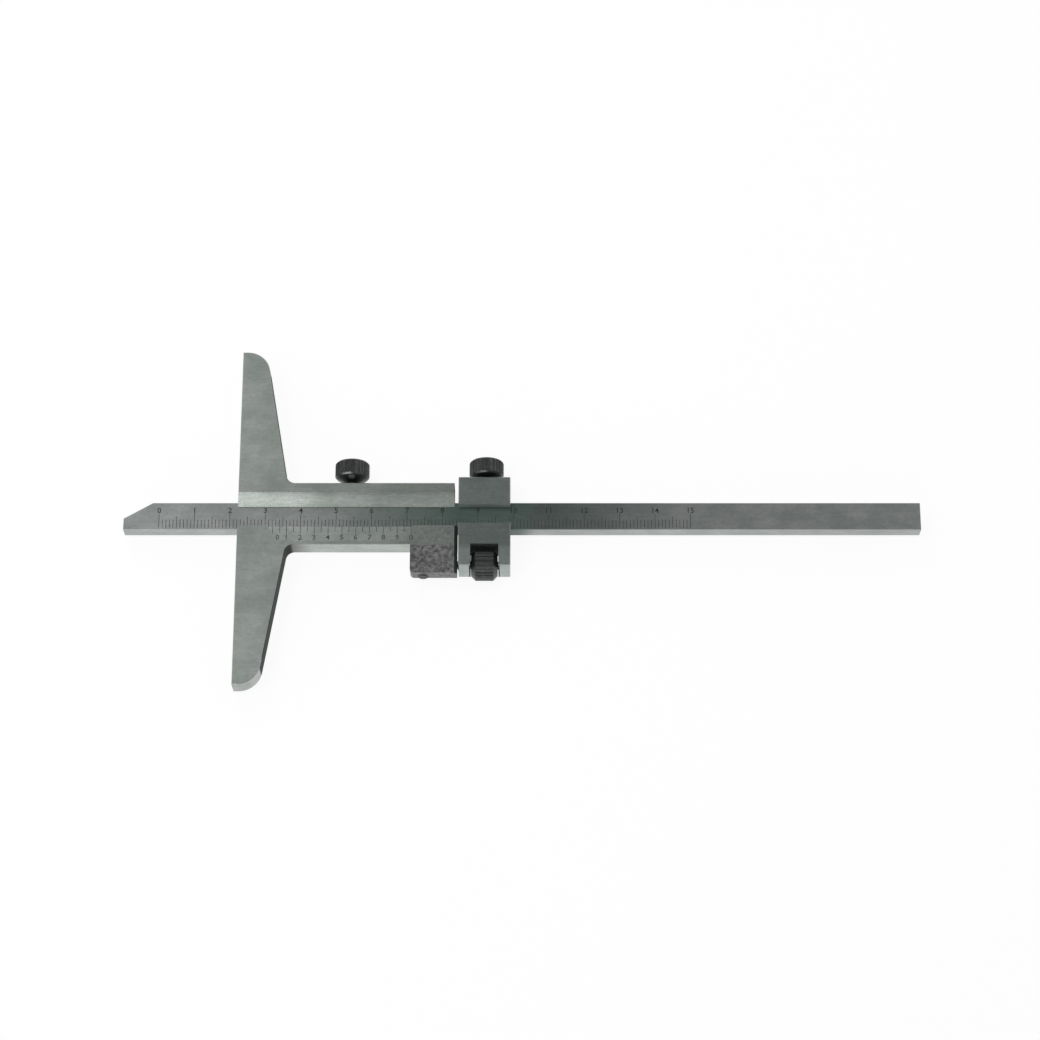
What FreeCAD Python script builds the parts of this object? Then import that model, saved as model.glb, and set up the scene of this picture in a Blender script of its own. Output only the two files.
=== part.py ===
import FreeCAD, Part
import math
import os

Vector = FreeCAD.Vector

# Vernier depth caliper with fine adjustment, lying on its back. Sizes are in millimetres.
# X runs along the beam, from the measuring tip to the beam's rear end.
# Y runs along the base, towards the lock screw.
# Z points out of the graduated face.
# The origin is on the measuring face, on the beam's centre line, at the back of the base.

# Beam
measuring_range = 150.0
beam_length = 225.0
beam_width = 8.0
beam_thickness = 4.8
beam_edge_break = 0.1
tip_reach = 32.25
tip_land = 3.3
tip_bevel_angle = 30.0

# Scales: both zeros lie this far from the face that they measure from
scale_zero = 10.0
scale_pitch = 1.0
scale_edge_margin = 0.5
tick_short = 2.5
tick_middle = 3.4
tick_long = 4.3
vernier_divisions = 20
vernier_pitch = 1.95
vernier_tick_short = 1.7
vernier_tick_long = 2.4
groove_width = 0.16
groove_depth = 0.08

# Base: two tapering arms and the slide, cut from one piece
base_length = 100.0
slide_thickness = 6.8
slide_length = 61.15
slide_rise = 9.65
slide_drop = 8.9
arm_root_width = 13.85
arm_tip_width = 6.9
arm_tip_radius = 6.5
arm_root_fillet = 2.5
edge_break = 0.12

# Channel for the beam, and the window over it
channel_floor = 0.75
running_clearance = 0.05
upper_lip_cover = 1.4
lower_lip_cover = 0.75
lip_edge = 0.2
upper_bevel_width = 4.2
vernier_bevel_width = 4.6
vernier_front_margin = 1.7
vernier_rear_margin = 0.6
vernier_end_slant = 2.6

# Gib between the beam and the slide's upper wall, with the two screws that set it
gib_thickness = 1.2
gib_end_gap = 1.0
gib_dimple_depth = 0.4
gib_dimple_radius = 0.8
seat_clearance = 0.02
gib_screw_radius = 1.25
gib_screw_inset = 0.1
gib_screw_front = 20.0
gib_screw_from_rear = 8.9
screwdriver_slot_width = 0.45
screwdriver_slot_depth = 0.7

# Lug, the tail behind it and the adjusting screw that they hold
lug_length = 12.4
lug_drop = 8.3
lug_back = 1.9
lug_corner_radius = 1.2
tail_length = 0.85
tail_bevel_depth = 0.5
lug_blind_end = 1.5
adjust_axis_drop = 13.9
adjust_screw_radius = 1.25
adjust_screw_chamfer = 0.3
adjust_screw_rear_inset = 0.6
lug_screw_radius = 1.5
lug_screw_from_lug_front = 3.7
lug_screw_stand_out = 0.4
lug_screw_chamfer = 0.35

# Carrier for the fine adjustment
carrier_gap = 1.15
carrier_length = 14.65
carrier_rise = 10.9
carrier_drop = 15.6
carrier_thickness = 10.2
carrier_edge_break = 0.2
carrier_upper_lip_cover = 1.3
carrier_lower_lip_cover = 1.05
carrier_gib_thickness = 1.63
gib_pocket_wall = 1.6
nut_slot_width = 7.9
nut_slot_clearance = 0.3
screw_hole_clearance = 0.15

# Adjusting nut
nut_diameter = 8.8
nut_side_play = 0.2
nut_chamfer = 1.3
nut_teeth = 28
thread_clearance = 0.05

# Lock screw and clamp screw, two of the same thumb screw
thumb_diameter = 9.75
thumb_head_height = 4.6
thumb_chamfer = 0.5
thumb_cone_height = 1.5
thumb_shank_radius = 1.5
thumb_shank_length = 5.4
thumb_tip_chamfer = 0.4
thumb_teeth = 30
thumb_crown_radius = 2.9
thumb_crown_depth = 0.25
knurl_depth = 0.22
lock_screw_from_face = 31.95
clamp_screw_from_carrier_front = 7.85

# Levels and places that follow from the sizes
beam_half = beam_width / 2
base_half = base_length / 2
beam_back = channel_floor + running_clearance
beam_front = beam_back + beam_thickness
beam_middle = beam_back + beam_thickness / 2
channel_roof = beam_front + running_clearance
gib_bottom = beam_half + running_clearance
gib_top = gib_bottom + gib_thickness
carrier_gib_top = gib_bottom + carrier_gib_thickness
window_top = beam_half - upper_lip_cover
window_bottom = lower_lip_cover - beam_half
lip_top = channel_roof + lip_edge
lug_front = slide_length - lug_length
lug_bottom = -slide_drop - lug_drop
tail_rear = slide_length + tail_length
carrier_front = slide_length + carrier_gap
carrier_rear = carrier_front + carrier_length
carrier_middle = carrier_front + carrier_length / 2
clamp_screw_x = carrier_front + clamp_screw_from_carrier_front
carrier_back = beam_middle - carrier_thickness / 2
carrier_face = beam_middle + carrier_thickness / 2
nut_axis = -adjust_axis_drop
overcut = 1.0


# Helpers
def block(x_from, x_to, y_from, y_to, z_from, z_to):
    return Part.makeBox(x_to - x_from, y_to - y_from, z_to - z_from, Vector(x_from, y_from, z_from))


def plate(points, z_from, z_to):
    """A flat outline in X and Y, drawn out along Z."""
    wire = Part.makePolygon([Vector(x, y, z_from) for x, y in points + points[:1]])
    return Part.Face(wire).extrude(Vector(0, 0, z_to - z_from))


def bar(points, x_from, x_to):
    """A section in Y and Z, drawn out along X."""
    wire = Part.makePolygon([Vector(x_from, y, z) for y, z in points + points[:1]])
    return Part.Face(wire).extrude(Vector(x_to - x_from, 0, 0))


def wedge(points, y_from, y_to):
    """A section in X and Z, drawn out along Y."""
    wire = Part.makePolygon([Vector(x, y_from, z) for x, z in points + points[:1]])
    return Part.Face(wire).extrude(Vector(0, y_to - y_from, 0))


def turned(profile):
    """A profile of radius and height, turned about Z."""
    points = [Vector(radius, 0, height) for radius, height in profile]
    face = Part.Face(Part.makePolygon(points + points[:1]))
    return face.revolve(Vector(0, 0, 0), Vector(0, 0, 1), 360)


def rod_x(radius, x_from, x_to, y, z):
    return Part.makeCylinder(radius, x_to - x_from, Vector(x_from, y, z), Vector(1, 0, 0))


def rod_y(radius, y_from, y_to, x, z):
    return Part.makeCylinder(radius, y_to - y_from, Vector(x, y_from, z), Vector(0, 1, 0))


def stood_along_y(shape, x, y, z, points_up=True):
    """Turns a shape built along Z so that its Z points along Y, and puts its origin at x, y, z."""
    shape.rotate(Vector(0, 0, 0), Vector(1, 0, 0), -90 if points_up else 90)
    shape.translate(Vector(x, y, z))
    return shape


def upright_edge(shape, x, y):
    """The edge along Z that stands at x, y."""
    for edge in shape.Edges:
        box = edge.BoundBox
        if box.XLength + box.YLength < 1e-6 and math.hypot(box.XMin - x, box.YMin - y) < 1e-6:
            return edge


def flat_edges(shape):
    """The edges that lie in the front and back planes of a plate."""
    return [edge for edge in shape.Edges if edge.BoundBox.ZLength < 1e-6]


def knurl(radius, teeth, height):
    """A column with straight teeth along Z, as a straight knurl leaves it."""
    points = []
    for step in range(2 * teeth):
        reach = radius if step % 2 == 0 else radius - knurl_depth
        angle = math.pi * step / teeth
        points.append((reach * math.cos(angle), reach * math.sin(angle)))
    return plate(points, 0, height)


# Graduations
def groove(length):
    """A cutter for one engraved line along +Y, with its surface at Z zero."""
    section = [
        Vector(-groove_width, 0, groove_depth),
        Vector(0, 0, -groove_depth),
        Vector(groove_width, 0, groove_depth),
    ]
    return Part.Face(Part.makePolygon(section + section[:1])).extrude(Vector(0, length, 0))


def beam_grooves():
    grooves = []
    lines = round(measuring_range / scale_pitch)
    for line in range(lines + 1):
        length = tick_short
        if line % 10 == 0:
            length = tick_long
        elif line % 5 == 0:
            length = tick_middle
        cutter = groove(length)
        x = scale_zero - tip_reach + line * scale_pitch
        cutter.translate(Vector(x, scale_edge_margin - beam_half, beam_front))
        grooves.append(cutter)
    return grooves


def vernier_grooves():
    slope = math.degrees(math.atan2(slide_thickness - lip_top, vernier_bevel_width))
    grooves = []
    for line in range(vernier_divisions + 1):
        length = vernier_tick_long if line % 2 == 0 else vernier_tick_short
        cutter = groove(length + overcut)
        cutter.rotate(Vector(0, 0, 0), Vector(0, 0, 1), 180)
        cutter.translate(Vector(0, overcut, 0))
        cutter.rotate(Vector(0, 0, 0), Vector(1, 0, 0), -slope)
        cutter.translate(Vector(scale_zero + line * vernier_pitch, window_bottom, lip_top))
        grooves.append(cutter)
    return grooves


# Beam
def make_beam():
    front = -tip_reach
    rear = front + beam_length
    bevel_length = (beam_width - tip_land) / math.tan(math.radians(tip_bevel_angle))
    outline = [
        (front, -beam_half),
        (rear, -beam_half),
        (rear, beam_half),
        (front + bevel_length, beam_half),
        (front, tip_land - beam_half),
    ]
    beam = plate(outline, beam_back, beam_front)
    beam = beam.makeChamfer(beam_edge_break, flat_edges(beam))
    return beam.cut(beam_grooves())


# Base and slide
def base_outline():
    """Arms, slide, lug and tail in one flat plate, with its corners rounded and its rims broken."""
    outline = [
        (0, -base_half),
        (arm_tip_width, -base_half),
        (arm_root_width, -slide_drop),
        (lug_front, -slide_drop),
        (lug_front, lug_bottom),
        (tail_rear, lug_bottom),
        (tail_rear, window_bottom),
        (slide_length, window_bottom),
        (slide_length, slide_rise),
        (arm_root_width, slide_rise),
        (arm_tip_width, base_half),
        (0, base_half),
    ]
    shape = plate(outline, 0, slide_thickness)
    tip_radius = min(arm_tip_radius, arm_tip_width)
    for tip_y, root_y in ((-base_half, -slide_drop), (base_half, slide_rise)):
        shape = shape.makeFillet(tip_radius, [upright_edge(shape, arm_tip_width, tip_y)])
        shape = shape.makeFillet(arm_root_fillet, [upright_edge(shape, arm_root_width, root_y)])
    shape = shape.makeFillet(lug_corner_radius, [upright_edge(shape, lug_front, lug_bottom)])
    return shape.makeChamfer(edge_break, flat_edges(shape))


def window_cutter():
    """The opening over the beam, with the long bevel that leads down to it from above."""
    above = slide_thickness + overcut
    bevel_rise = (slide_thickness - lip_top) / upper_bevel_width
    section = [
        (window_bottom, beam_middle),
        (window_top, beam_middle),
        (window_top, lip_top),
        (window_top + upper_bevel_width, slide_thickness),
        (window_top + upper_bevel_width + overcut / bevel_rise, above),
        (window_bottom, above),
    ]
    return bar(section, -overcut, slide_length + overcut)


def vernier_cutter():
    """The bevel that carries the vernier scale, with its slanted front end."""
    above = slide_thickness + overcut
    wedge_front = scale_zero - vernier_front_margin
    wedge_rear = scale_zero + vernier_divisions * vernier_pitch + vernier_rear_margin
    bevel_rise = (slide_thickness - lip_top) / vernier_bevel_width
    bevel_run = vernier_bevel_width + overcut / bevel_rise
    section = [
        (window_bottom + overcut, lip_top),
        (window_bottom, lip_top),
        (window_bottom - bevel_run, above),
        (window_bottom + overcut, above),
    ]
    slant = vernier_end_slant / vernier_bevel_width
    plan = [
        (wedge_front - slant * overcut, window_bottom + overcut),
        (wedge_front + slant * bevel_run, window_bottom - bevel_run),
        (wedge_rear, window_bottom - bevel_run),
        (wedge_rear, window_bottom + overcut),
    ]
    return bar(section, wedge_front - overcut, wedge_rear + overcut).common(plate(plan, 0, above))


def lug_back_cutter():
    """Takes the lug's back off, so that only the slide lies on its back."""
    front, rear = lug_front - overcut, tail_rear + overcut
    return block(front, rear, lug_bottom - overcut, -slide_drop, -overcut, lug_back)


def tail_cutter():
    """The bevel down the front of the tail, which lies close in front of the carrier."""
    section = [
        (slide_length, slide_thickness),
        (tail_rear, slide_thickness - tail_bevel_depth),
        (tail_rear + overcut, slide_thickness),
    ]
    return wedge(section, lug_bottom - overcut, window_bottom + overcut)


def gib_screw_places():
    return {"gib_screw_front": gib_screw_front, "gib_screw_rear": slide_length - gib_screw_from_rear}


def make_base_slide():
    channel = block(
        -overcut,
        tail_rear + overcut,
        -gib_bottom,
        gib_top + running_clearance,
        channel_floor,
        channel_roof,
    )
    cutters = [channel, window_cutter(), vernier_cutter(), lug_back_cutter(), tail_cutter()]
    upper = (beam_half, slide_rise + overcut)
    lock_hole = thumb_shank_radius + thread_clearance
    cutters.append(rod_y(lock_hole, *upper, lock_screw_from_face, beam_middle))
    for x in gib_screw_places().values():
        cutters.append(rod_y(gib_screw_radius + seat_clearance, *upper, x, beam_middle))
    adjust_hole = adjust_screw_radius + seat_clearance
    hole_front = lug_front + lug_blind_end
    cutters.append(rod_x(adjust_hole, hole_front, tail_rear + overcut, nut_axis, beam_middle))
    lug_hole = lug_screw_radius + seat_clearance
    lug_screw_x = lug_front + lug_screw_from_lug_front
    cutters.append(rod_y(lug_hole, lug_bottom - overcut, nut_axis, lug_screw_x, beam_middle))
    return base_outline().cut(cutters).cut(vernier_grooves())


# Gibs
def dimple(x):
    radius = gib_dimple_radius + seat_clearance
    return rod_y(radius, gib_top - gib_dimple_depth, gib_top + overcut, x, beam_middle)


def make_slide_gib():
    strip = block(gib_end_gap, slide_length - gib_end_gap, gib_bottom, gib_top, beam_back, beam_front)
    return strip.cut([dimple(x) for x in gib_screw_places().values()])


def carrier_gib_span():
    inset = gib_pocket_wall + running_clearance
    return carrier_front + inset, carrier_rear - inset


def make_carrier_gib():
    front, rear = carrier_gib_span()
    return block(front, rear, gib_bottom, carrier_gib_top, beam_back, beam_front)


# Small slotted screws
def slotted(shape, radius, top):
    """Cuts a screwdriver slot across the end of a screw built along Z."""
    reach = radius + overcut
    half = screwdriver_slot_width / 2
    slot = block(-reach, reach, -half, half, top - screwdriver_slot_depth, top + overcut)
    return shape.cut(slot)


def make_gib_screw(x):
    tip = gib_top - gib_dimple_depth + seat_clearance
    length = slide_rise - gib_screw_inset - tip
    profile = [
        (0, 0),
        (gib_dimple_radius, 0),
        (gib_dimple_radius, gib_dimple_depth),
        (gib_screw_radius, gib_dimple_depth + gib_screw_radius - gib_dimple_radius),
        (gib_screw_radius, length),
        (0, length),
    ]
    return stood_along_y(slotted(turned(profile), gib_screw_radius, length), x, tip, beam_middle)


def make_lug_set_screw():
    tip = nut_axis - adjust_screw_radius - seat_clearance
    length = tip - lug_bottom + lug_screw_stand_out
    profile = [
        (0, 0),
        (lug_screw_radius, 0),
        (lug_screw_radius, length - lug_screw_chamfer),
        (lug_screw_radius - lug_screw_chamfer, length),
        (0, length),
    ]
    screw = slotted(turned(profile), lug_screw_radius, length)
    x = lug_front + lug_screw_from_lug_front
    return stood_along_y(screw, x, tip, beam_middle, points_up=False)


# Fine adjustment
def make_adjusting_screw():
    front = lug_front + lug_blind_end + seat_clearance
    rear = carrier_rear - adjust_screw_rear_inset
    screw = rod_x(adjust_screw_radius, front, rear, nut_axis, beam_middle)
    rims = [edge for edge in screw.Edges if edge.BoundBox.XLength < 1e-6]
    return screw.makeChamfer(adjust_screw_chamfer, rims)


def make_adjusting_nut():
    width = nut_slot_width - 2 * nut_side_play
    radius = nut_diameter / 2
    bore = adjust_screw_radius + thread_clearance
    profile = [
        (bore, 0),
        (radius - nut_chamfer, 0),
        (radius, nut_chamfer),
        (radius, width - nut_chamfer),
        (radius - nut_chamfer, width),
        (bore, width),
    ]
    nut = knurl(radius, nut_teeth, width).common(turned(profile))
    nut.rotate(Vector(0, 0, 0), Vector(0, 1, 0), 90)
    nut.translate(Vector(carrier_middle - width / 2, nut_axis, beam_middle))
    return nut


def make_carrier():
    body = block(carrier_front, carrier_rear, -carrier_drop, carrier_rise, carrier_back, carrier_face)
    body = body.makeChamfer(carrier_edge_break, body.Edges)
    along = (carrier_front - overcut, carrier_rear + overcut)
    channel = block(*along, -gib_bottom, gib_bottom, channel_floor, channel_roof)
    window = block(
        *along,
        carrier_lower_lip_cover - beam_half,
        beam_half - carrier_upper_lip_cover,
        beam_middle,
        carrier_face + overcut,
    )
    gib_front, gib_rear = carrier_gib_span()
    pocket = block(
        gib_front - running_clearance,
        gib_rear + running_clearance,
        beam_half,
        carrier_gib_top + running_clearance,
        channel_floor,
        channel_roof,
    )
    slot_half = nut_slot_width / 2
    slot = block(
        carrier_middle - slot_half,
        carrier_middle + slot_half,
        -carrier_drop - overcut,
        nut_axis + nut_diameter / 2 + nut_slot_clearance,
        carrier_back - overcut,
        carrier_face + overcut,
    )
    adjust_hole = rod_x(adjust_screw_radius + screw_hole_clearance, *along, nut_axis, beam_middle)
    clamp_radius = thumb_shank_radius + thread_clearance
    clamp_hole = rod_y(clamp_radius, beam_half, carrier_rise + overcut, clamp_screw_x, beam_middle)
    return body.cut([channel, window, pocket, slot, adjust_hole, clamp_hole])


# Thumb screws
def make_thumb_screw(x, seat):
    """Knurled head on a short cone, with a shank that presses on the gib whose top is the seat."""
    radius = thumb_diameter / 2
    head_bottom = thumb_shank_length + thumb_cone_height
    head_top = head_bottom + thumb_head_height
    head_profile = [
        (0, head_bottom),
        (radius - thumb_chamfer, head_bottom),
        (radius, head_bottom + thumb_chamfer),
        (radius, head_top - thumb_chamfer),
        (radius - thumb_chamfer, head_top),
        (thumb_crown_radius, head_top),
        (thumb_crown_radius - thumb_crown_depth, head_top - thumb_crown_depth),
        (0, head_top - thumb_crown_depth),
    ]
    head = knurl(radius, thumb_teeth, head_top).common(turned(head_profile))
    shank_profile = [
        (0, 0),
        (thumb_shank_radius - thumb_tip_chamfer, 0),
        (thumb_shank_radius, thumb_tip_chamfer),
        (thumb_shank_radius, thumb_shank_length),
        (radius - thumb_chamfer, head_bottom),
        (0, head_bottom),
    ]
    return stood_along_y(head.fuse(turned(shank_profile)), x, seat + seat_clearance, beam_middle)


def main():
    nodes = {
        "beam": make_beam(),
        "base_slide": make_base_slide(),
        "slide_gib": make_slide_gib(),
        "lock_screw": make_thumb_screw(lock_screw_from_face, gib_top),
        "fine_adjust_carrier": make_carrier(),
        "carrier_gib": make_carrier_gib(),
        "clamp_screw": make_thumb_screw(clamp_screw_x, carrier_gib_top),
        "adjusting_nut": make_adjusting_nut(),
        "adjusting_screw": make_adjusting_screw(),
        "lug_set_screw": make_lug_set_screw(),
    }
    for name, x in gib_screw_places().items():
        nodes[name] = make_gib_screw(x)
    os.makedirs("parts", exist_ok=True)
    for name, shape in nodes.items():
        shape.exportStep(f"parts/{name}.step")
        print(name, len(shape.Solids), round(shape.Volume, 2), shape.isValid())


main()
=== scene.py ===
import math

import bmesh
import bpy
from mathutils import Matrix, Quaternion, Vector


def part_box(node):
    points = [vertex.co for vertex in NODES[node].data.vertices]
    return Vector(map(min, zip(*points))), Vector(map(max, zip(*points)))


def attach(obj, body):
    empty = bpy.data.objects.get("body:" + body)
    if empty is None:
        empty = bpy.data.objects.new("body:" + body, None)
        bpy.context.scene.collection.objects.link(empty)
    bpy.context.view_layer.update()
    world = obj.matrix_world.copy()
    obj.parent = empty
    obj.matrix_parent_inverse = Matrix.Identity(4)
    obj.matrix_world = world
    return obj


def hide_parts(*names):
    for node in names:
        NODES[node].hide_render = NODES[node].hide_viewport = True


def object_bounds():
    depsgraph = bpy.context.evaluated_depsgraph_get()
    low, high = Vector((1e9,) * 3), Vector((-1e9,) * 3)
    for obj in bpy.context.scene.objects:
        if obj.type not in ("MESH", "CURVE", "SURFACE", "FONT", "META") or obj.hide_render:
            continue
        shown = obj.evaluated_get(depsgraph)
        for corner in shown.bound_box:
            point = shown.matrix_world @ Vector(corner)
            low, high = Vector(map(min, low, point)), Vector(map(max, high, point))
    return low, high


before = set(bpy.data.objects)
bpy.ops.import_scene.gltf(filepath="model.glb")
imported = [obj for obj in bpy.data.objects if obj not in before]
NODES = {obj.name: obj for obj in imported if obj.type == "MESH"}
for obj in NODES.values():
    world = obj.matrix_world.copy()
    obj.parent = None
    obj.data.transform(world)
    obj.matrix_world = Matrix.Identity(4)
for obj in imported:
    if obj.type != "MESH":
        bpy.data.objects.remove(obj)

cad_box = [list(corner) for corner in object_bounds()]
MM = 0.001

# Camera: above the graduated face, leaning towards the lower edge of the base
CAMERA_TARGET = Vector((79.65, 0.96, 0.0)) * MM
CAMERA_DISTANCE = 822.8 * MM
CAMERA_TILT = math.radians(20.69)
CAMERA_LENS = 100.2
CAMERA_SENSOR = 36.0

# Sizes that the scene repeats from the model, in millimetres
SCALE_ZERO = 10.0
TIP_REACH = 32.25
SCALE_LINES = 150
TICK_START = -3.5
TICK_LENGTHS = {10: 4.3, 5: 3.4, 1: 2.5}
BEAM_FRONT = 5.6
VERNIER_DIVISIONS = 20
VERNIER_PITCH = 1.95
VERNIER_TICKS = (2.4, 1.7)
SLIDE_FACE = 6.8
SLIDE_REAR = 61.15
SLIDE_LOW = -8.9
LUG_FRONT = 48.75
WINDOW_BOTTOM = -3.25
WINDOW_TOP = 2.6
UPPER_BEVEL = 4.2
LIP_TOP = 5.85
VERNIER_BEVEL = 4.6
VERNIER_SLOPE = math.atan2(SLIDE_FACE - LIP_TOP, VERNIER_BEVEL)
HEAD_HEIGHT = 4.6

# Paint and numbers of the scales, in millimetres; the last two in shares of a number's height
INK_HALF_WIDTH = 0.06
INK_DEPTH = 0.07
INK_BELOW = 0.006
INK_END_GAP = 0.02
NUMBER_HEIGHT = 1.6
MAIN_NUMBER_LEVEL = 0.95
VERNIER_NUMBER_DROP = 4.3
FIRST_NUMBER_ASIDE = 1.4
NUMBER_THICKNESS = 0.004
NUMBER_STROKE = 0.008

# Thread of the adjusting screw, in millimetres, with its crests cut flat
SCREW_PITCH = 0.5
SCREW_STEPS = 6
SCREW_SIDES = 28
SCREW_RADIUS = 1.25
SCREW_ROOT = 0.97
SCREW_END_CONE = 0.3
CREST_GAIN = 1.25

# Finish, with the colours of painted light and shade
GRAIN = (9.0, 0.25, 0.25)
BEVEL_CROWN = 0.015
WORN_EDGE = (0.62, 0.63, 0.62)
# The beam's stain colours also carry painted shade
GREEN_STAIN_AND_SHADE = (0.082, 0.152, 0.125)
GREY_STAIN_AND_SHADE = (0.084, 0.12, 0.108)
LUG_HOLLOWS = (0.13, 0.13, 0.132)
LUG_LUMPS = (0.385, 0.385, 0.387)
# Painted shade, black
PAINTED_SHADE_BLACK = (0.045, 0.05, 0.049)
# Painted shade in the slot, and painted light on the carrier's inner wall
SLOT_SHADE = (0.085, 0.1, 0.094)
LIT_WALL = (0.8, 0.86, 0.83)
# Painted highlight on the thumb screws
PAINTED_GLINT = (0.42, 0.43, 0.43)

# Floor and surroundings
FLOOR_SIZE = 3.0
FLOOR_GAP = 0.02 * MM
FLOOR_GLOW = 0.9
FLOOR_VEIL = (0.22, 0.22, 0.22)
FLOOR_LIT = (0.8, 0.8, 0.8)
HORIZON_LEVEL = 0.6
OVERHEAD_LEVEL = 0.1
WHITE = (1.0, 1.0, 1.0)


def add_camera():
    camera = bpy.data.objects.new("camera", bpy.data.cameras.new("camera"))
    camera.data.lens = CAMERA_LENS
    camera.data.sensor_width = CAMERA_SENSOR
    camera.data.clip_start = 0.01
    camera.data.clip_end = 100.0
    back = Vector((0, -math.sin(CAMERA_TILT), math.cos(CAMERA_TILT)))
    camera.location = CAMERA_TARGET + back * CAMERA_DISTANCE
    camera.rotation_euler = (CAMERA_TILT, 0, 0)
    bpy.context.scene.collection.objects.link(camera)
    bpy.context.scene.camera = camera


# Materials
class Shader:
    """Builds a node tree: every method adds nodes and all but node return an output."""

    def __init__(self, tree):
        self.tree = tree
        tree.nodes.clear()

    def node(self, kind, inputs=(), **settings):
        made = self.tree.nodes.new(kind)
        for name, value in settings.items():
            setattr(made, name, value)
        for name, value in dict(inputs).items():
            if isinstance(value, bpy.types.NodeSocket):
                self.tree.links.new(value, made.inputs[name])
            else:
                made.inputs[name].default_value = value
        return made

    def place(self, output="Object"):
        return self.node("ShaderNodeTexCoord").outputs[output]

    def axis(self, vector, name):
        return self.node("ShaderNodeSeparateXYZ", {0: vector}).outputs[name]

    def noise(self, size, detail=3.0, roughness=0.55, shift=0.0):
        """Noise with features of the given size in millimetres along X, Y and Z."""
        mapping = self.node("ShaderNodeMapping", {
            "Vector": self.place(),
            "Location": (shift, shift * 0.7, shift * 1.3),
            "Scale": tuple(1 / (s * MM) for s in size),
        })
        texture = self.node("ShaderNodeTexNoise", {
            "Vector": mapping.outputs["Vector"],
            "Scale": 1.0,
            "Detail": detail,
            "Roughness": roughness,
        })
        return texture.outputs["Fac"]

    def span(self, value, low, high, to_low=0.0, to_high=1.0, smooth=False):
        """Takes low to to_low and high to to_high, and holds these levels beyond them."""
        made = self.node("ShaderNodeMapRange", {
            "Value": value,
            "From Min": low,
            "From Max": high,
            "To Min": to_low,
            "To Max": to_high,
        }, interpolation_type="SMOOTHSTEP" if smooth else "LINEAR")
        return made.outputs["Result"]

    def stretch(self, value, start, end, to_low=0.0, to_high=1.0, smooth=False):
        """A span of a position, with its ends in millimetres."""
        return self.span(value, start * MM, end * MM, to_low, to_high, smooth)

    def math(self, operation, first, second=0.0):
        made = self.node("ShaderNodeMath", {0: first, 1: second}, operation=operation)
        return made.outputs[0]

    def product(self, first, *others):
        for factor in others:
            first = self.math("MULTIPLY", first, factor)
        return first

    def rest(self, share):
        return self.math("SUBTRACT", 1.0, share)

    def mix(self, amount, first, second, blend="MIX"):
        made = self.node("ShaderNodeMix", {0: amount, 6: first, 7: second}, data_type="RGBA", blend_type=blend)
        return made.outputs[2]

    def mix_values(self, amount, first, second):
        return self.node("ShaderNodeMix", {0: amount, 2: first, 3: second}).outputs[0]

    def mix_normals(self, amount, first, second):
        made = self.node("ShaderNodeMix", {0: amount, 4: first, 5: second}, data_type="VECTOR")
        return made.outputs[1]

    def shade(self, colour, amount):
        """The colour made lighter or darker by a plain factor."""
        grey = self.node("ShaderNodeCombineXYZ", {0: amount, 1: amount, 2: amount}).outputs[0]
        return self.mix(1.0, colour, grey, "MULTIPLY")

    def bump(self, height, depth, strength=1.0, under=None):
        inputs = {"Height": height, "Distance": depth * MM, "Strength": strength}
        if under is not None:
            inputs["Normal"] = under
        return self.node("ShaderNodeBump", inputs).outputs["Normal"]

    def broken_edges(self):
        """1 on the narrow bevels that run round the edges, 0 on the wide faces."""
        normal = self.place("Normal")
        sides = [self.math("ABSOLUTE", self.axis(normal, name)) for name in "XYZ"]
        flattest = self.math("MAXIMUM", self.math("MAXIMUM", sides[0], sides[1]), sides[2])
        return self.span(flattest, 0.88, 0.78)


def rgba(colour, factor=1.0):
    return (*(part * factor for part in colour), 1.0)


def material(name):
    made = bpy.data.materials.new(name)
    made.use_nodes = True
    return made, Shader(made.node_tree)


def surface(shader, inputs):
    principled = shader.node("ShaderNodeBsdfPrincipled", inputs)
    shader.node("ShaderNodeOutputMaterial", {"Surface": principled.outputs[0]})


def lighten(s, look, factor):
    look["Base Color"] = s.shade(look["Base Color"], factor)


def darken(s, look, share):
    lighten(s, look, s.rest(share))


def blacken(s, look, where, colour):
    """Turns the look into painted shade, dull and unevenly black, in the given place."""
    cloud = s.noise((1.5, 1.5, 1.5), detail=5.0, roughness=0.65, shift=9.4)
    black = s.mix(s.span(cloud, 0.35, 0.65), rgba(colour, 0.75), rgba(colour, 1.3))
    look["Base Color"] = s.mix(where, look["Base Color"], black)
    look["Metallic"] = s.math("SUBTRACT", look["Metallic"], where)
    look["Roughness"] = s.math("MAXIMUM", look["Roughness"], s.product(where, 0.8))


def ground_steel(name, light, dark, regions, roughness=0.3):
    """Satin ground steel: fine lines along X, faint stains and specks, bright worn edges."""
    made, s = material(name)
    lines = s.noise(GRAIN, detail=4.0, roughness=0.7)
    fine = s.noise((GRAIN[0] / 2, GRAIN[1] / 3, GRAIN[2] / 3), detail=2.0, shift=3.1)
    stains = s.noise((9.0, 6.0, 6.0), detail=4.0, roughness=0.6, shift=1.7)
    specks = s.noise((1.2, 0.8, 0.8), detail=4.0, roughness=0.7, shift=5.3)
    colour = s.mix(s.span(stains, 0.36, 0.66, smooth=True), rgba(dark), rgba(light))
    colour = s.shade(colour, s.product(s.span(lines, 0.25, 0.75, 0.88, 1.1), s.span(specks, 0.3, 0.7, 0.9, 1.1)))
    colour = s.mix(s.product(s.broken_edges(), 0.5), colour, rgba(WORN_EDGE))
    rough_lines = s.span(lines, 0.25, 0.75, roughness - 0.04, roughness + 0.05)
    height = s.math("ADD", s.product(lines, 0.6), s.product(fine, 0.4))
    look = {
        "Base Color": colour,
        "Metallic": 1.0,
        "Roughness": s.math("ADD", rough_lines, s.span(stains, 0.3, 0.7, 0.04, -0.03)),
        "Normal": s.bump(height, 0.006, 0.5),
    }
    regions(s, look)
    surface(s, look)
    return made


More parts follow.
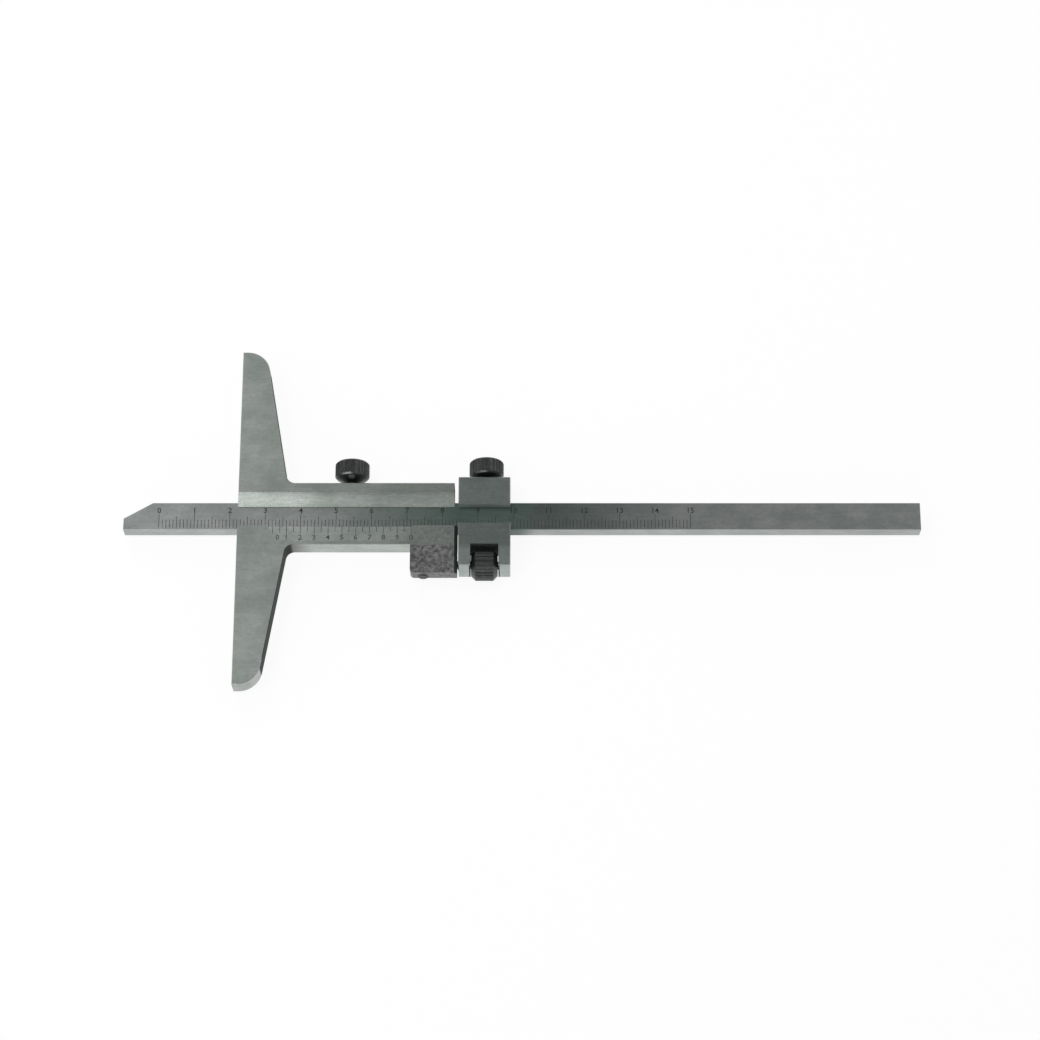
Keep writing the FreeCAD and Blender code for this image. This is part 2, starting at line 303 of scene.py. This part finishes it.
def beam_patina(s, look):
    """The beam is stained green where it runs in the slide and the carrier, then grey, with painted shade in the stain
    for a dark reflection there; it clears towards its end, its sides are darker near the carrier, and its end is a
    little darker.
    """
    along = s.axis(s.place(), "X")
    worn = s.product(s.stretch(along, 15, 66, smooth=True), s.stretch(along, 76, 136, 1.0, 0.0, smooth=True))
    side = s.span(s.axis(s.place("Normal"), "Z"), 0.5, 0.2)
    cleared = s.product(side, s.stretch(along, 78.5, 84.5, 0.0, 0.9, smooth=True))
    worn = s.product(worn, s.rest(cleared))
    patches = s.noise((14.0, 5.0, 5.0), detail=4.0, shift=8.2)
    amount = s.product(worn, s.span(patches, 0.3, 0.7, 0.56, 0.86))
    stain = s.mix(s.stretch(along, 81, 84), rgba(GREEN_STAIN_AND_SHADE), rgba(GREY_STAIN_AND_SHADE))
    # painted shade: the stain darkens the face where a dark reflection falls
    look["Base Color"] = s.mix(amount, look["Base Color"], stain)
    darken(s, look, s.product(side, worn, 0.53))
    darken(s, look, s.stretch(along, 110, 170, 0.0, 0.12, smooth=True))


def crowned_bevel(s, look, place, facing):
    """The bevel above the window is slightly crowned, finer than the flats, and carries painted shade in its middle."""
    across = s.product(s.axis(place, "Y"), 1 / MM)
    across = s.math("MINIMUM", s.math("MAXIMUM", across, WINDOW_TOP), WINDOW_TOP + UPPER_BEVEL)
    from_middle = s.math("SUBTRACT", across, WINDOW_TOP + UPPER_BEVEL / 2)
    height = s.product(from_middle, from_middle, -0.5 * BEVEL_CROWN)
    bevel = s.span(s.axis(facing, "Y"), -0.1, -0.15)
    look["Normal"] = s.mix_normals(bevel, look["Normal"], s.bump(height, 1.0, 1.0, look["Normal"]))
    look["Roughness"] = s.mix_values(bevel, look["Roughness"], 0.2)
    along = s.axis(place, "X")
    # painted shade: the bevel darker in its middle, where its reflection of the lamps falls off
    darken(s, look, s.product(
        s.stretch(along, 18, 28, 0.0, 0.12, smooth=True),
        s.stretch(along, 40, 48, 1.0, 0.0, smooth=True),
        bevel,
        s.span(s.axis(facing, "Z"), 0.5, 0.8),
    ))


# Painted light: the upper arm is painted a fifth lighter and the lower arm a little lighter
def lighter_arms(s, look, place):
    level = s.axis(place, "Y")
    upper = s.stretch(level, 8, 15, 1.0, 1.2, smooth=True)
    lower = s.stretch(level, -8, -15, 0.0, 0.02, smooth=True)
    lighten(s, look, s.math("ADD", upper, lower))


def stains_near_lug(s, look, place, facing):
    spots = s.noise((0.8, 0.8, 0.8), detail=4.0, roughness=0.7, shift=7.7)
    darken(s, look, s.product(
        s.stretch(s.axis(place, "X"), 40, 52, smooth=True),
        s.stretch(s.axis(place, "Y"), -3, -4, smooth=True),
        s.span(s.axis(facing, "Z"), 0.5, 0.8),
        s.span(spots, 0.35, 0.65, 0.0, 0.32),
    ))


def rough_lug(s, look, place, facing):
    """The lug is left unground: grey and lumpy, with painted shade on its lower side."""
    lug = s.product(
        s.stretch(s.axis(place, "Y"), SLIDE_LOW, SLIDE_LOW - 0.2),
        s.stretch(s.axis(place, "X"), LUG_FRONT - 0.2, LUG_FRONT - 0.15),
    )
    lumps = s.noise((1.1, 1.1, 1.1), detail=5.0, roughness=0.7, shift=2.4)
    dull = s.mix(s.span(lumps, 0.38, 0.62), rgba(LUG_HOLLOWS), rgba(LUG_LUMPS))
    # painted shade: the lug's lower side darker
    dull = s.shade(dull, s.span(s.axis(facing, "Y"), -0.5, -0.8, 1.0, 0.65))
    look["Base Color"] = s.mix(lug, look["Base Color"], dull)
    look["Roughness"] = s.math("ADD", look["Roughness"], s.product(lug, 0.22))
    look["Normal"] = s.mix_normals(lug, look["Normal"], s.bump(lumps, 0.12, 0.6, look["Normal"]))


def dark_sides(s, look, place, facing):
    """Painted shade: what faces the beam's rear end is painted black; the corner under the slide and the arms' rounded
    tips are painted darker.
    """
    off_centre = s.math("ABSOLUTE", s.axis(place, "Y"))
    rearward = s.axis(facing, "X")
    # painted shade in the corner under the slide, fading out towards the rear
    darken(s, look, s.product(
        s.stretch(off_centre, 12, 11),
        s.span(s.axis(facing, "Y"), -0.5, -0.9),
        s.stretch(s.axis(place, "X"), 15, 21.5, 0.8, 0.0),
    ))
    tip = s.stretch(off_centre, 42, 43)
    # painted shade on the sides of the arms' rounded tips
    darken(s, look, s.product(
        tip,
        s.span(s.axis(facing, "Z"), 0.5, 0.2),
        s.span(rearward, 0.2, 0.7, 0.2, 0.35),
    ))
    before_rounding = s.math("MAXIMUM", s.rest(tip), s.span(rearward, 0.93, 0.975))
    walls = s.product(s.span(rearward, 0.08, 0.4), before_rounding)
    tail = s.product(
        s.stretch(s.axis(place, "X"), SLIDE_REAR + 0.02, SLIDE_REAR + 0.06),
        s.stretch(s.axis(place, "Z"), SLIDE_FACE - 1.2, SLIDE_FACE - 1.0),
    )
    # painted shade: the rear-facing walls and the slide's rear edge painted black
    blacken(s, look, s.math("MAXIMUM", walls, tail), PAINTED_SHADE_BLACK)


def base_regions(s, look):
    place = s.place()
    facing = s.place("Normal")
    crowned_bevel(s, look, place, facing)
    lighter_arms(s, look, place)
    stains_near_lug(s, look, place, facing)
    rough_lug(s, look, place, facing)
    dark_sides(s, look, place, facing)


def slot_in_oil(s, look):
    """Painted light and shade: the carrier's legs are painted lighter and the part above them darker, its inner upper
    wall is painted pale as light, and the slot between the legs is painted black as shade.
    """
    low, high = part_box("adjusting_nut")
    nut_top = high.y / MM
    slot_top = nut_top + 0.5
    half_nut = (high.x - low.x) / 2 / MM
    place = s.place()
    facing = s.place("Normal")
    level = s.axis(place, "Y")
    # painted light on the legs and painted shade above them
    legs = s.stretch(level, slot_top, nut_top - 2, 0.81, 1.18, smooth=True)
    upper = s.stretch(level, 0, 3, 0.0, 0.1, smooth=True)
    lighten(s, look, s.math("ADD", legs, upper))
    off_middle = s.math("ABSOLUTE", s.math("SUBTRACT", s.axis(place, "X"), (low.x + high.x) / 2))
    slot = s.product(
        s.stretch(off_middle, half_nut + 0.6, half_nut + 0.55),
        s.stretch(level, slot_top, slot_top - 0.05),
        s.span(s.axis(facing, "Z"), 0.6, 0.4),
    )
    # painted shade: the slot between the legs black
    blacken(s, look, slot, SLOT_SHADE)
    # painted light: the inner upper wall facing down pale
    pale = s.product(s.span(s.axis(facing, "Y"), -0.6, -0.8), s.stretch(level, 0.5, 1.0))
    look["Base Color"] = s.mix(pale, look["Base Color"], rgba(LIT_WALL))
    look["Roughness"] = s.mix_values(pale, look["Roughness"], 0.6)


def rubbed_head(s, tone, colour):
    """Painted highlights and shade: a thumb screw's lower edge carries a painted highlight on one side and its cone is
    painted dark; the lock screw's cone has a painted glint.
    """
    place = s.place()
    facing = s.place("Normal")
    level = s.axis(place, "Y")
    down = s.axis(facing, "Y")
    aside = s.axis(facing, "X")
    # painted highlight on the lower edge, on the left side
    edge = s.product(s.span(down, -0.5, -0.6), s.span(down, -0.84, -0.78))
    rubbed = s.product(s.span(aside, -0.55, -0.3, smooth=True), s.span(aside, 0.1, -0.08, smooth=True))
    tone = s.mix(s.product(edge, rubbed), tone, rgba(PAINTED_GLINT))
    # painted shade: the cone darker
    cone = s.span(down, -0.8, -0.86)
    tone = s.mix(cone, tone, rgba(colour, 0.6))
    cone_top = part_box("lock_screw")[1].y / MM - HEAD_HEIGHT
    # painted glint on the front of the lock screw's cone
    spot = s.product(
        cone,
        s.span(s.math("ABSOLUTE", aside), 0.16, 0.06, smooth=True),
        s.span(s.axis(facing, "Z"), 0.0, 0.1),
        s.stretch(level, cone_top - 0.1, cone_top - 0.4),
        s.stretch(level, cone_top - 1.0, cone_top - 0.7),
        s.stretch(s.axis(place, "X"), 50, 49),
    )
    return s.mix(s.product(spot, 0.8), tone, rgba(PAINTED_GLINT))


def blackened_steel(name, colour, regions=None):
    """Blackened and oiled steel, rubbed thin in patches."""
    made, s = material(name)
    patches = s.noise((1.6, 1.6, 1.6), detail=4.0, roughness=0.6)
    fine = s.noise((0.25, 0.25, 0.25), detail=3.0, shift=4.4)
    tone = s.mix(s.span(fine, 0.3, 0.7), rgba(colour, 0.75), rgba(colour, 1.25))
    tone = s.mix(s.span(patches, 0.5, 0.75, 0.0, 0.5), tone, rgba(colour, 2.2))
    if regions:
        tone = regions(s, tone, colour)
    rough = s.span(fine, 0.2, 0.8, 0.28, 0.48)
    surface(s, {"Base Color": tone, "Metallic": 0.75, "Roughness": rough, "Normal": s.bump(fine, 0.02, 0.5)})
    return made


def turned_steel(name, colour):
    made, s = material(name)
    rings = s.noise((0.12, 2.0, 2.0), detail=2.0)
    stains = s.noise((2.0, 2.0, 2.0), detail=3.0, shift=1.2)
    tone = s.mix(stains, rgba(colour, 0.8), rgba(colour, 1.15))
    rough = s.span(rings, 0.3, 0.7, 0.28, 0.41)
    surface(s, {"Base Color": tone, "Metallic": 1.0, "Roughness": rough, "Normal": s.bump(rings, 0.01, 0.4)})
    return made


def brass(name, light, dark):
    made, s = material(name)
    lines = s.noise((6.0, 0.2, 0.2), detail=3.0)
    stains = s.noise((3.0, 3.0, 3.0), detail=4.0, shift=6.6)
    tone = s.mix(s.span(stains, 0.3, 0.7), rgba(dark), rgba(light))
    rough = s.span(lines, 0.25, 0.75, 0.28, 0.42)
    surface(s, {"Base Color": tone, "Metallic": 1.0, "Roughness": rough, "Normal": s.bump(lines, 0.01, 0.4)})
    return made


def ink(name, colour):
    """Black paint rubbed into the engraved lines, thinner in places."""
    made, s = material(name)
    wear = s.noise((0.5, 0.5, 0.5), detail=3.0)
    tone = s.mix(s.span(wear, 0.45, 0.8), rgba(colour), rgba(colour, 3.0))
    surface(s, {"Base Color": tone, "Metallic": 0.0, "Roughness": s.span(wear, 0.3, 0.7, 0.45, 0.65)})
    return made


def dress(node, finish):
    data = NODES[node].data
    data.materials.clear()
    data.materials.append(finish)


# Meshes
def mesh_from(name, build):
    mesh = bpy.data.meshes.new(name)
    made = bmesh.new()
    build(made)
    bmesh.ops.recalc_face_normals(made, faces=made.faces)
    made.to_mesh(mesh)
    made.free()
    return mesh


def add_piece(name, build, body, finish, replaced=()):
    made = bpy.data.objects.new(name, mesh_from(name, build))
    bpy.context.scene.collection.objects.link(made)
    made.data.materials.append(finish)
    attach(made, body)
    if replaced:
        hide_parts(*replaced)


def prism(made, length, placed):
    """A closed three-sided bar along Y: the ink in one engraved line."""
    corners = [(-INK_HALF_WIDTH, -INK_BELOW), (INK_HALF_WIDTH, -INK_BELOW), (0, -INK_DEPTH)]
    ends = []
    for y in (INK_END_GAP, length - INK_END_GAP):
        ends.append([made.verts.new(placed @ (Vector((x, y, z)) * MM)) for x, z in corners])
    made.faces.new(ends[0])
    made.faces.new(reversed(ends[1]))
    for first in range(3):
        second = (first + 1) % 3
        made.faces.new([ends[0][first], ends[0][second], ends[1][second], ends[1][first]])


def numeral(made, number, placed):
    """Adds the number as a thin closed mesh, centred on the place."""
    curve = bpy.data.curves.new("numeral", "FONT")
    curve.body = str(number)
    curve.align_x = "CENTER"
    curve.size = 1.0
    curve.extrude = NUMBER_THICKNESS
    curve.resolution_u = 2
    curve.offset = NUMBER_STROKE
    text = bpy.data.objects.new("numeral", curve)
    bpy.context.scene.collection.objects.link(text)
    bpy.context.view_layer.update()
    mesh = bpy.data.meshes.new_from_object(text.evaluated_get(bpy.context.evaluated_depsgraph_get()))
    tall = max(v.co.y for v in mesh.vertices)
    mesh.transform(placed @ Matrix.Scale(NUMBER_HEIGHT * MM / tall, 4))
    made.from_mesh(mesh)
    bpy.data.meshes.remove(mesh)
    bpy.data.objects.remove(text)
    bpy.data.curves.remove(curve)


def on_beam(mark, level):
    """The place on the beam's face at a mark of the main scale, in millimetres."""
    return Matrix.Translation(Vector((SCALE_ZERO - TIP_REACH + mark, level, BEAM_FRONT)) * MM)


def on_vernier(x, down):
    """The place on the vernier's slope that lies down millimetres below its upper edge."""
    edge = Matrix.Translation(Vector((x, WINDOW_BOTTOM, LIP_TOP)) * MM)
    return edge @ Matrix.Rotation(-VERNIER_SLOPE, 4, "X") @ Matrix.Translation((0, -down * MM, 0))


def main_scale_ink(made):
    for line in range(SCALE_LINES + 1):
        step = next(every for every in TICK_LENGTHS if line % every == 0)
        prism(made, TICK_LENGTHS[step], on_beam(line, TICK_START))


def vernier_ink(made):
    for line in range(VERNIER_DIVISIONS + 1):
        length = VERNIER_TICKS[line % 2]
        prism(made, length, on_vernier(SCALE_ZERO + line * VERNIER_PITCH, length))


def main_scale_numbers(made):
    for number in range(SCALE_LINES // 10 + 1):
        numeral(made, number, on_beam(number * 10, MAIN_NUMBER_LEVEL))


def vernier_numbers(made):
    """The first number stands beside its line, clear of the slanted end; the last one is a nought again."""
    for number in range(VERNIER_DIVISIONS // 2 + 1):
        aside = 0.0 if number else FIRST_NUMBER_ASIDE
        x = SCALE_ZERO + number * 2 * VERNIER_PITCH + aside
        numeral(made, number % 10, on_vernier(x, VERNIER_NUMBER_DROP))


def threaded_rod(made, front, rear, y, z):
    """A right-hand thread along X, running out in a cone at both ends."""
    rings = []
    count = round((rear - front) / SCREW_PITCH * SCREW_STEPS)
    for step in range(count + 1):
        x = front + (rear - front) * step / count
        cap = SCREW_RADIUS - max(0.0, SCREW_END_CONE - min(x - front, rear - x))
        ring = []
        for side in range(SCREW_SIDES):
            turn = side / SCREW_SIDES
            phase = (x / SCREW_PITCH + turn) % 1.0
            crest = min(1.0, CREST_GAIN * (1 - abs(2 * phase - 1)))
            radius = min(SCREW_ROOT + (SCREW_RADIUS - SCREW_ROOT) * crest, cap)
            angle = 2 * math.pi * turn
            place = Vector((x, y + radius * math.cos(angle), z + radius * math.sin(angle)))
            ring.append(made.verts.new(place * MM))
        rings.append(ring)
    for near, far in zip(rings, rings[1:]):
        for side in range(SCREW_SIDES):
            after = (side + 1) % SCREW_SIDES
            made.faces.new([near[side], near[after], far[after], far[side]])
    made.faces.new(rings[0])
    made.faces.new(reversed(rings[-1]))


def adjusting_thread(made):
    low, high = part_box("adjusting_screw")
    threaded_rod(made, low.x / MM, high.x / MM, (low.y + high.y) / 2 / MM, (low.z + high.z) / 2 / MM)


# Floor, world and lamps
def show_background(s, seen, lit):
    """The seen shader for camera, glossy and transmission rays, the lit one for all others."""
    path = s.node("ShaderNodeLightPath")
    amount = s.math("MAXIMUM", path.outputs["Is Camera Ray"], path.outputs["Is Glossy Ray"])
    amount = s.math("MAXIMUM", amount, path.outputs["Is Transmission Ray"])
    return s.node("ShaderNodeMixShader", {0: amount, 1: lit, 2: seen}).outputs[0]


def add_floor():
    """The floor shows nearly white, with a veil of its own colour that carries the shadow."""
    low, high = cad_box
    mesh = mesh_from("floor", lambda made: bmesh.ops.create_grid(made, x_segments=1, y_segments=1, size=FLOOR_SIZE))
    floor = bpy.data.objects.new("floor", mesh)
    floor.location = ((low[0] + high[0]) / 2, 0, low[2] - FLOOR_GAP)
    bpy.context.scene.collection.objects.link(floor)
    made, s = material("floor")
    glow = s.node("ShaderNodeEmission", {"Color": rgba(WHITE), "Strength": FLOOR_GLOW})
    veil = s.node("ShaderNodeBsdfDiffuse", {"Color": rgba(FLOOR_VEIL)})
    seen = s.node("ShaderNodeAddShader", {0: glow.outputs[0], 1: veil.outputs[0]})
    lit = s.node("ShaderNodeBsdfDiffuse", {"Color": rgba(FLOOR_LIT)})
    s.node("ShaderNodeOutputMaterial", {"Surface": show_background(s, seen.outputs[0], lit.outputs[0])})
    mesh.materials.append(made)


def add_world():
    """White where the camera sees it; for the object a studio, pale at the horizon and dimmer overhead."""
    world = bpy.data.worlds.new("studio")
    world.use_nodes = True
    bpy.context.scene.world = world
    s = Shader(world.node_tree)
    height = s.axis(s.place("Generated"), "Z")
    level = s.span(height, 0.1, 0.85, HORIZON_LEVEL, OVERHEAD_LEVEL, smooth=True)
    level = s.math("MAXIMUM", level, s.node("ShaderNodeLightPath").outputs["Is Camera Ray"])
    background = s.node("ShaderNodeBackground", {"Color": rgba(WHITE), "Strength": level})
    s.node("ShaderNodeOutputWorld", {"Surface": background.outputs[0]})


def add_lamp(name, place, target, size, level, turn=0.0):
    """A soft rectangular lamp, turned about its own axis; level is the brightness that it shows in a mirror."""
    lamp = bpy.data.lights.new(name, "AREA")
    lamp.shape = "RECTANGLE"
    lamp.size, lamp.size_y = (s * MM for s in size)
    lamp.energy = level * math.pi * lamp.size * lamp.size_y
    made = bpy.data.objects.new(name, lamp)
    made.location = Vector(place) * MM
    aim = (Vector(target) * MM - made.location).to_track_quat("-Z", "Y")
    made.rotation_euler = (aim @ Quaternion((0, 0, 1), math.radians(turn))).to_euler()
    bpy.context.scene.collection.objects.link(made)


def add_lamps():
    """The flats mirror left_back and right_back, and the bevel above the window mirrors over_front and over_middle."""
    add_lamp("left_back", (-150, 260, 620), (0, 0, 0), (260, 420), 0.69)
    add_lamp("over_front", (-218, -88, 620), (-62, -42, 0), (240, 360), 1.92, turn=27.7)
    add_lamp("over_middle", (42, -75, 620), (42, -75, 0), (180, 150), 0.5)
    add_lamp("low_front", (-240, -810, 225), (50, 0, 0), (300, 150), 2.0)
    add_lamp("right_back", (370, 245, 620), (220, 0, 0), (420, 420), 0.5)
    add_lamp("far_back", (-180, 620, 560), (20, 0, 0), (400, 200), 1.3)


add_camera()

base_steel = ground_steel("base_steel", (0.41, 0.44, 0.415), (0.34, 0.38, 0.35), base_regions)
beam_steel = ground_steel("beam_steel", (0.41, 0.43, 0.42), (0.34, 0.365, 0.355), beam_patina)
carrier_steel = ground_steel("carrier_steel", (0.335, 0.375, 0.36), (0.27, 0.313, 0.298), slot_in_oil, roughness=0.32)
black_steel = blackened_steel("black_steel", (0.1, 0.104, 0.103))
knob_steel = blackened_steel("knob_steel", (0.083, 0.087, 0.086), rubbed_head)
screw_steel = turned_steel("screw_steel", (0.34, 0.35, 0.35))
gib_brass = brass("gib_brass", (0.66, 0.51, 0.24), (0.42, 0.30, 0.12))
scale_ink = ink("scale_ink", (0.03, 0.032, 0.031))
vernier_paint = ink("vernier_paint", (0.055, 0.06, 0.058))

FINISHES = {
    "beam": beam_steel,
    "base_slide": base_steel,
    "slide_gib": gib_brass,
    "gib_screw_front": screw_steel,
    "gib_screw_rear": screw_steel,
    "lock_screw": knob_steel,
    "fine_adjust_carrier": carrier_steel,
    "carrier_gib": gib_brass,
    "clamp_screw": knob_steel,
    "adjusting_nut": black_steel,
    "lug_set_screw": black_steel,
}
for node, finish in FINISHES.items():
    dress(node, finish)

add_piece("main_scale_ink", main_scale_ink, "beam", scale_ink)
add_piece("vernier_ink", vernier_ink, "base", vernier_paint)
add_piece("main_scale_numbers", main_scale_numbers, "beam", scale_ink)
add_piece("vernier_numbers", vernier_numbers, "base", vernier_paint)
add_piece("adjusting_screw_thread", adjusting_thread, "base", screw_steel, replaced=["adjusting_screw"])

add_floor()
add_world()
add_lamps()
bpy.context.scene.view_settings.view_transform = "Standard"
